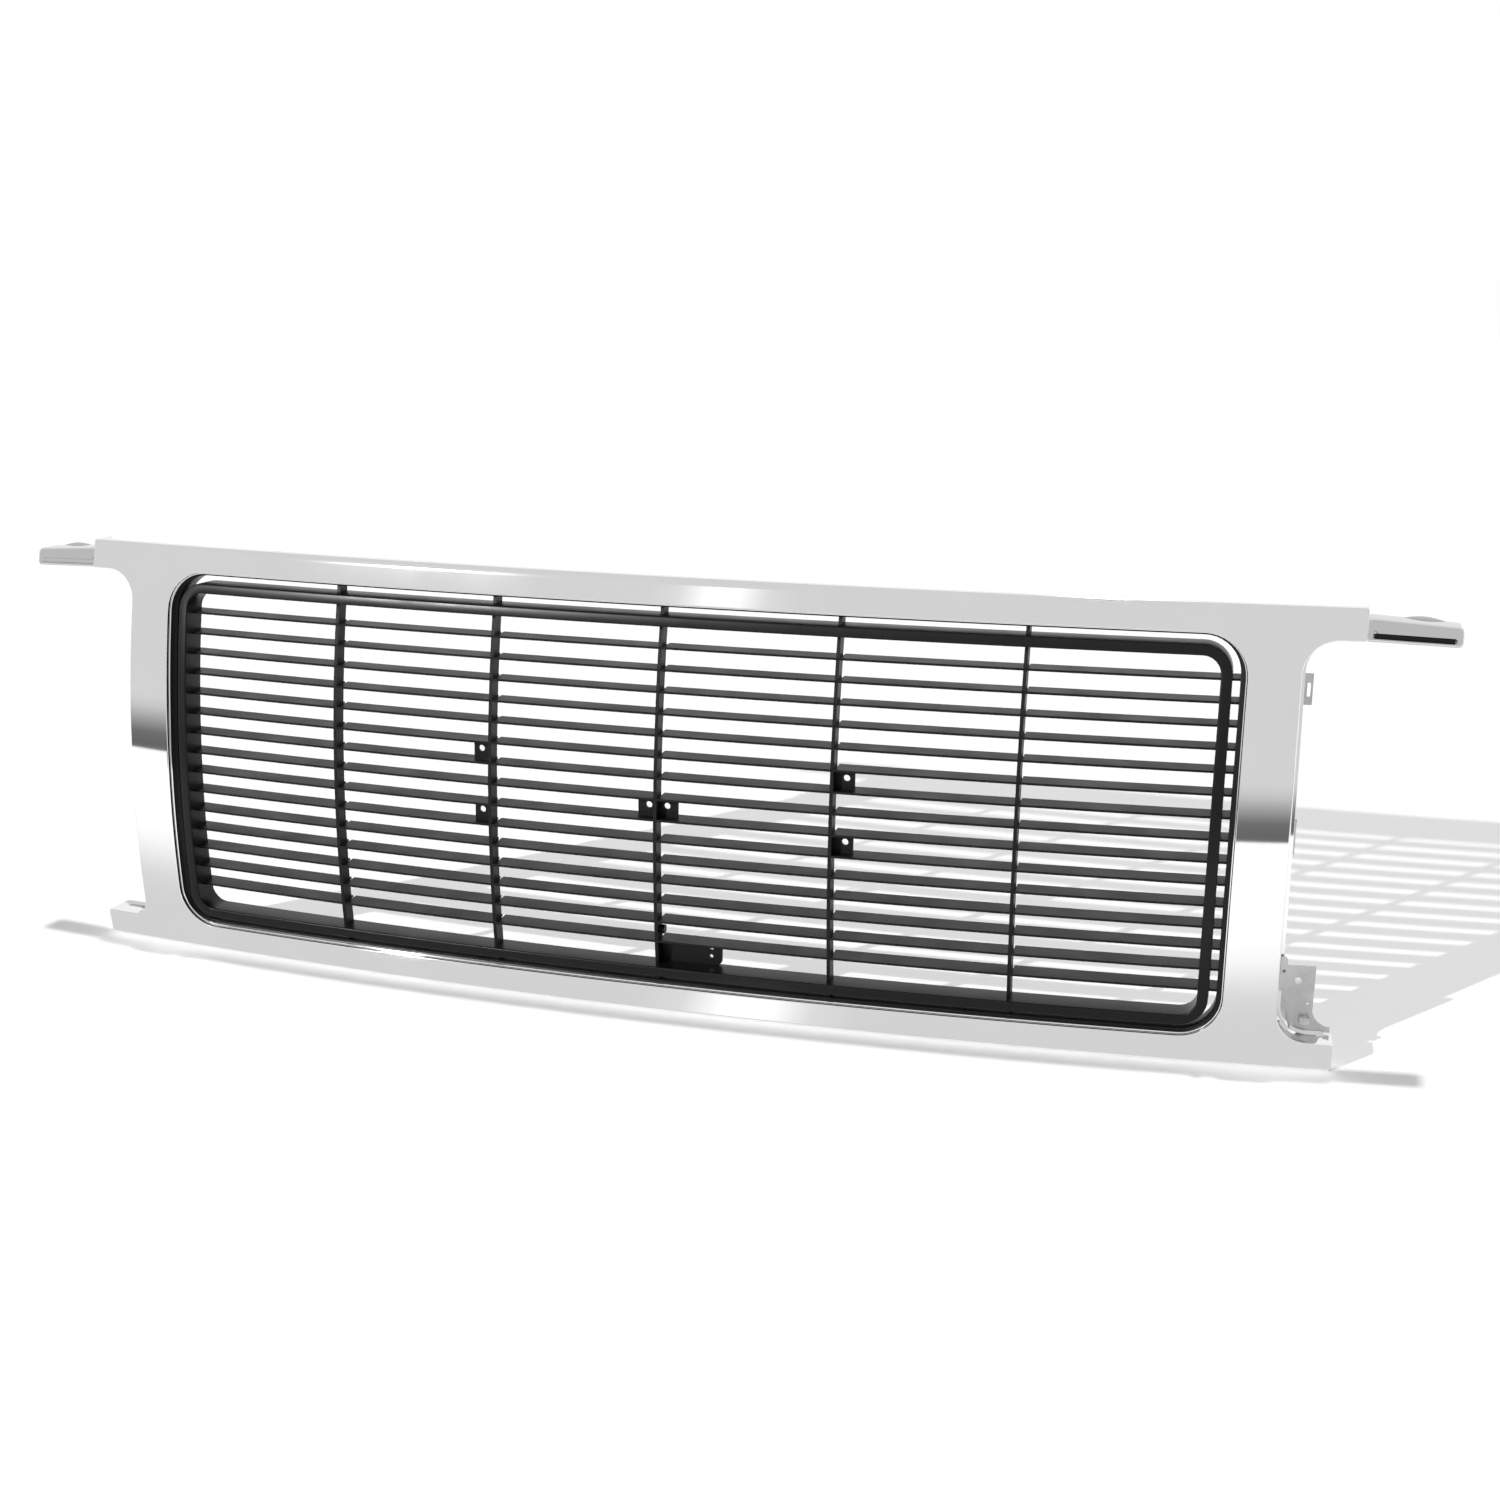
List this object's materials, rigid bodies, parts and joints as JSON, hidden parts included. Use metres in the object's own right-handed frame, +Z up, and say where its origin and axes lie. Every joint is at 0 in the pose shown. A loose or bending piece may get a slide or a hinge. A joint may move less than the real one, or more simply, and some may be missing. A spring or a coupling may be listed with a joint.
{
  "type": "front grille",
  "caption": "Vehicle front grille: a curved chrome surround with side extensions round a black louvred insert with upright ribs.",
  "frame": {"origin": "on the centreline, in the middle of the flat underside of the bottom bar", "axes": "+X across the vehicle to the right as seen from in front, -Y the way the grille faces, +Z up"},
  "size_m": [1.444, 0.106, 0.431],
  "materials": {
    "chrome": "bright chrome plating on moulded plastic",
    "plated_bracket": "dull grey plating on moulded plastic",
    "black_plastic": "semi-matte grained black",
    "zinc_steel": "zinc plated"
  },
  "bodies": {
    "root": {"chrome_shell": "chrome", "left_side_extension": "chrome", "right_side_extension": "chrome", "left_upper_bracket": "plated_bracket", "left_middle_bracket": "plated_bracket", "left_lower_bracket": "plated_bracket", "left_side_tab": "plated_bracket", "right_upper_bracket": "plated_bracket", "right_middle_bracket": "plated_bracket", "right_lower_bracket": "plated_bracket", "right_side_tab": "plated_bracket", "insert_frame": "black_plastic", "floating_ring": "black_plastic", "slat_01": "black_plastic", "slat_02": "black_plastic", "slat_03": "black_plastic", "slat_04": "black_plastic", "slat_05": "black_plastic", "slat_06": "black_plastic", "slat_07": "black_plastic", "slat_08": "black_plastic", "slat_09": "black_plastic", "slat_10": "black_plastic", "slat_11": "black_plastic", "slat_12": "black_plastic", "slat_13": "black_plastic", "slat_14": "black_plastic", "slat_15": "black_plastic", "rib_1": "black_plastic", "rib_2": "black_plastic", "rib_3": "black_plastic", "rib_4": "black_plastic", "rib_5": "black_plastic", "left_emblem_tabs": "black_plastic", "centre_emblem_tabs": "black_plastic", "right_emblem_tabs": "black_plastic", "lower_centre_bracket": "black_plastic", "bracket_boss": "black_plastic", "insert_screws": "zinc_steel", "bracket_screws": "zinc_steel", "side_extension_screws": "zinc_steel", "spring_nuts": "zinc_steel", "foot_clip": "zinc_steel"}
  },
  "joints": []
}
